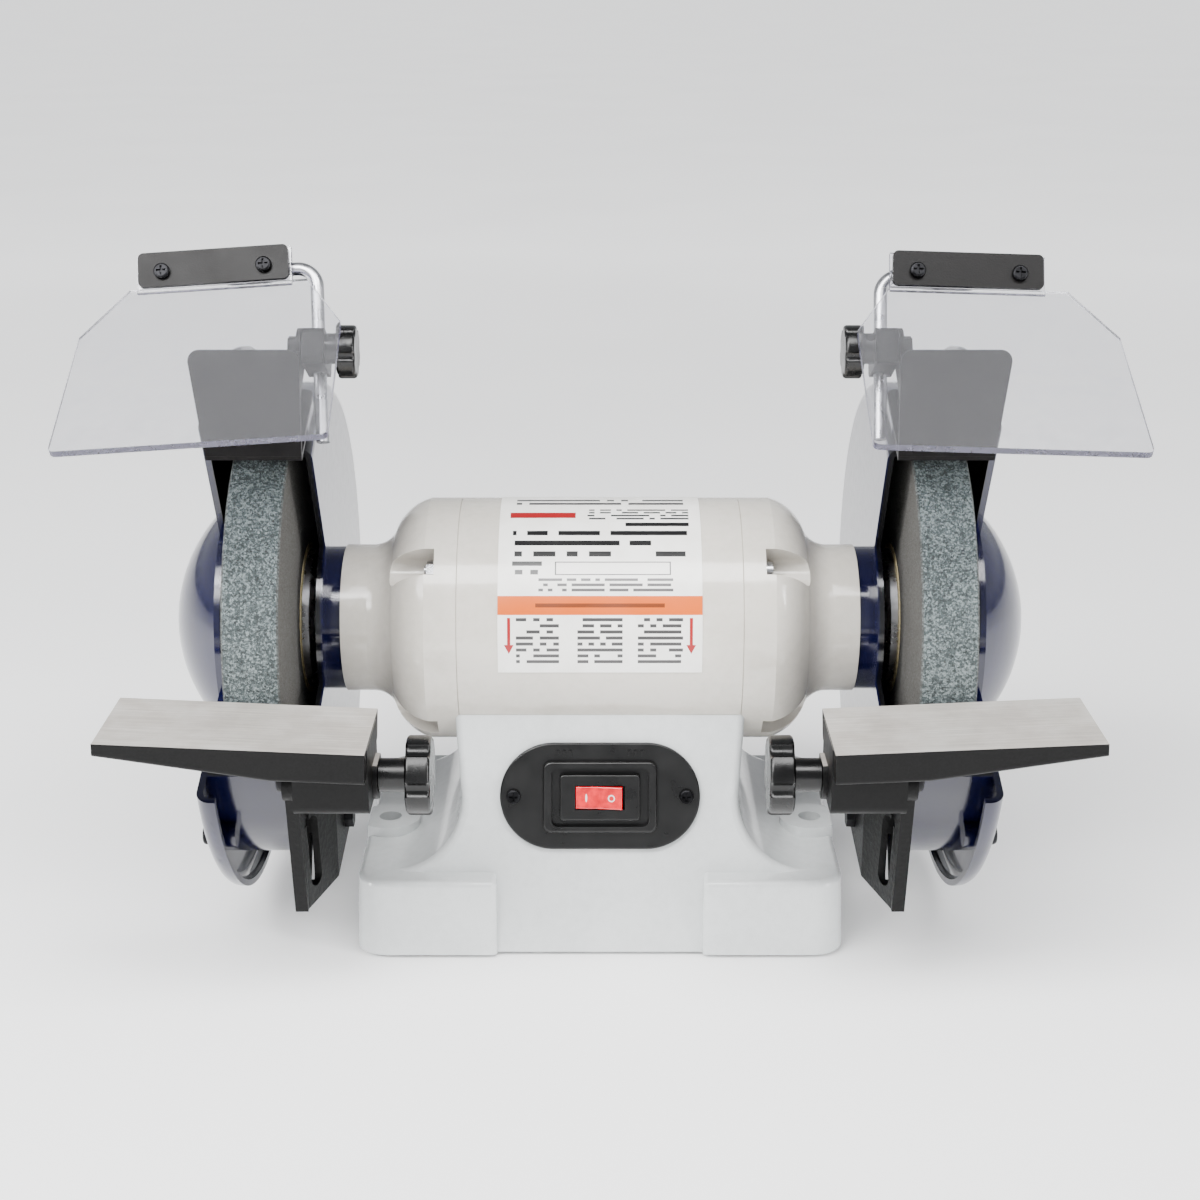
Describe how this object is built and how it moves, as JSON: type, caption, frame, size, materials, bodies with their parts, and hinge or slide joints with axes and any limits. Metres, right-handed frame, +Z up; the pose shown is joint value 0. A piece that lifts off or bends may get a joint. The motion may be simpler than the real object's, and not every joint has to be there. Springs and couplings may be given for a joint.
{
  "type": "bench grinder",
  "caption": "Bench grinder with a wheel in a guard at each end of a motor on a cast base, tool rests, eye shields and a rocker switch.",
  "frame": {"origin": "on the bench, midway between the two mounting holes, 14 mm in front of the spindle", "axes": "+X to the operator's right along the spindle, -Y to the operator, +Z up"},
  "size_m": [0.4557, 0.29, 0.3315],
  "materials": {
    "base_enamel": "light grey gloss enamel on cast iron",
    "motor_enamel": "warm light grey gloss enamel on cast aluminium",
    "guard_enamel": "dark navy gloss enamel on pressed steel",
    "black_casting": "black painted casting",
    "ground_iron": "brushed ground top, black painted sides",
    "steel": "machined steel",
    "black_steel": "black oxide",
    "black_sheet": "black satin paint on steel sheet",
    "black_plastic": "moulded black plastic",
    "red_plastic": "translucent red plastic",
    "clear_plastic": "clear polycarbonate sheet",
    "abrasive": "grey vitrified abrasive",
    "label": null,
    "rubber": "black rubber",
    "laminations": "stacked steel laminations",
    "copper": "enamelled copper wire",
    "paper": "pressed paper washer"
  },
  "bodies": {
    "stand": {"arm_bolts": "black_steel", "arrestor_screws": "black_steel", "base": "base_enamel", "base_plate": "black_sheet", "base_plate_screws": "steel", "bearing_outer_races": "steel", "cord_gland": "rubber", "cover_screws": "black_steel", "guard_screws": "black_steel", "left_end_bell": "motor_enamel", "left_guard_cover": "guard_enamel", "left_rest_arm": "black_casting", "left_wheel_guard": "guard_enamel", "rating_plate": "label", "right_end_bell": "motor_enamel", "right_guard_cover": "guard_enamel", "right_rest_arm": "black_casting", "right_wheel_guard": "guard_enamel", "rubber_feet": "rubber", "run_capacitor": "black_plastic", "saddle_bolts": "steel", "stator_core": "laminations", "stator_housing": "motor_enamel", "stator_winding": "copper", "switch_body": "black_plastic", "switch_plate": "black_plastic", "switch_screws": "black_steel", "tie_bolts": "steel"},
    "rotor": {"shaft": "steel", "rotor_core": "laminations", "bearing_inner_races": "steel", "blotters": "paper", "inner_flanges": "steel", "outer_flanges": "steel", "right_grinding_wheel": "abrasive", "left_grinding_wheel": "abrasive", "right_arbor_nut": "steel", "left_arbor_nut": "steel"},
    "rocker": {"switch_rocker": "red_plastic"},
    "right_stud": {"right_rest_stud": "black_steel"},
    "right_table": {"right_tool_rest": "ground_iron"},
    "right_rest_knob": {"right_rest_knob": "black_plastic"},
    "right_arrestor": {"right_spark_arrestor": "black_sheet"},
    "right_clamp": {"right_clamp_block": "black_casting"},
    "right_clamp_knob": {"right_clamp_knob": "black_plastic"},
    "right_shield": {"right_shield_rod": "steel", "right_eye_shield": "clear_plastic", "right_shield_bar": "black_sheet", "right_shield_screws": "black_steel"},
    "left_stud": {"left_rest_stud": "black_steel"},
    "left_table": {"left_tool_rest": "ground_iron"},
    "left_rest_knob": {"left_rest_knob": "black_plastic"},
    "left_arrestor": {"left_spark_arrestor": "black_sheet"},
    "left_clamp": {"left_clamp_block": "black_casting"},
    "left_clamp_knob": {"left_clamp_knob": "black_plastic"},
    "left_shield": {"left_shield_rod": "steel", "left_eye_shield": "clear_plastic", "left_shield_bar": "black_sheet", "left_shield_screws": "black_steel"}
  },
  "joints": [
    {"name": "rotor_spin", "type": "hinge", "parent": "stand", "child": "rotor", "pos_m": [0, 0.014, 0.145], "axis": [1, 0, 0], "continuous": true},
    {"name": "rocker_switch", "type": "hinge", "parent": "stand", "child": "rocker", "pos_m": [0, -0.04832, 0.0763], "axis": [0, 0.2338, 0.9723], "range_deg": [0, 16]},
    {"name": "right_rest_slide", "type": "slide", "parent": "stand", "child": "right_stud", "axis": [0, 1, 0], "range_m": [-0.008, 0.001]},
    {"name": "right_rest_tilt", "type": "hinge", "parent": "right_stud", "child": "right_table", "pos_m": [0.115, -0.112, 0.115], "axis": [1, 0, 0], "range_deg": [-5, 30]},
    {"name": "right_rest_knob_turn", "type": "hinge", "parent": "right_stud", "child": "right_rest_knob", "pos_m": [0.085, -0.112, 0.115], "axis": [1, 0, 0], "range_deg": [-180, 180]},
    {"name": "right_arrestor_slide", "type": "slide", "parent": "stand", "child": "right_arrestor", "axis": [0, 0.9272, 0.3746], "range_m": [-0.004, 0.004]},
    {"name": "right_shield_tilt", "type": "hinge", "parent": "right_arrestor", "child": "right_clamp", "pos_m": [0.132, -0.041, 0.288], "axis": [1, 0, 0], "range_deg": [-45, 12]},
    {"name": "right_shield_slide", "type": "slide", "parent": "right_clamp", "child": "right_shield", "axis": [0.0279, 0.4617, 0.8866], "range_m": [0, 0.028]},
    {"name": "right_clamp_knob_turn", "type": "hinge", "parent": "right_clamp", "child": "right_clamp_knob", "pos_m": [0.115, -0.041, 0.288], "axis": [1, 0, 0], "range_deg": [-180, 180]},
    {"name": "left_rest_slide", "type": "slide", "parent": "stand", "child": "left_stud", "axis": [0, 1, 0], "range_m": [-0.008, 0.001]},
    {"name": "left_rest_tilt", "type": "hinge", "parent": "left_stud", "child": "left_table", "pos_m": [-0.115, -0.112, 0.115], "axis": [1, 0, 0], "range_deg": [-5, 30]},
    {"name": "left_rest_knob_turn", "type": "hinge", "parent": "left_stud", "child": "left_rest_knob", "pos_m": [-0.085, -0.112, 0.115], "axis": [1, 0, 0], "range_deg": [-180, 180]},
    {"name": "left_arrestor_slide", "type": "slide", "parent": "stand", "child": "left_arrestor", "axis": [0, 0.9272, 0.3746], "range_m": [-0.004, 0.004]},
    {"name": "left_shield_tilt", "type": "hinge", "parent": "left_arrestor", "child": "left_clamp", "pos_m": [-0.132, -0.041, 0.288], "axis": [1, 0, 0], "range_deg": [-45, 24]},
    {"name": "left_shield_slide", "type": "slide", "parent": "left_clamp", "child": "left_shield", "axis": [-0.0588, 0.4617, 0.8851], "range_m": [-0.002, 0.025]},
    {"name": "left_clamp_knob_turn", "type": "hinge", "parent": "left_clamp", "child": "left_clamp_knob", "pos_m": [-0.115, -0.041, 0.288], "axis": [1, 0, 0], "range_deg": [-180, 180]}
  ]
}
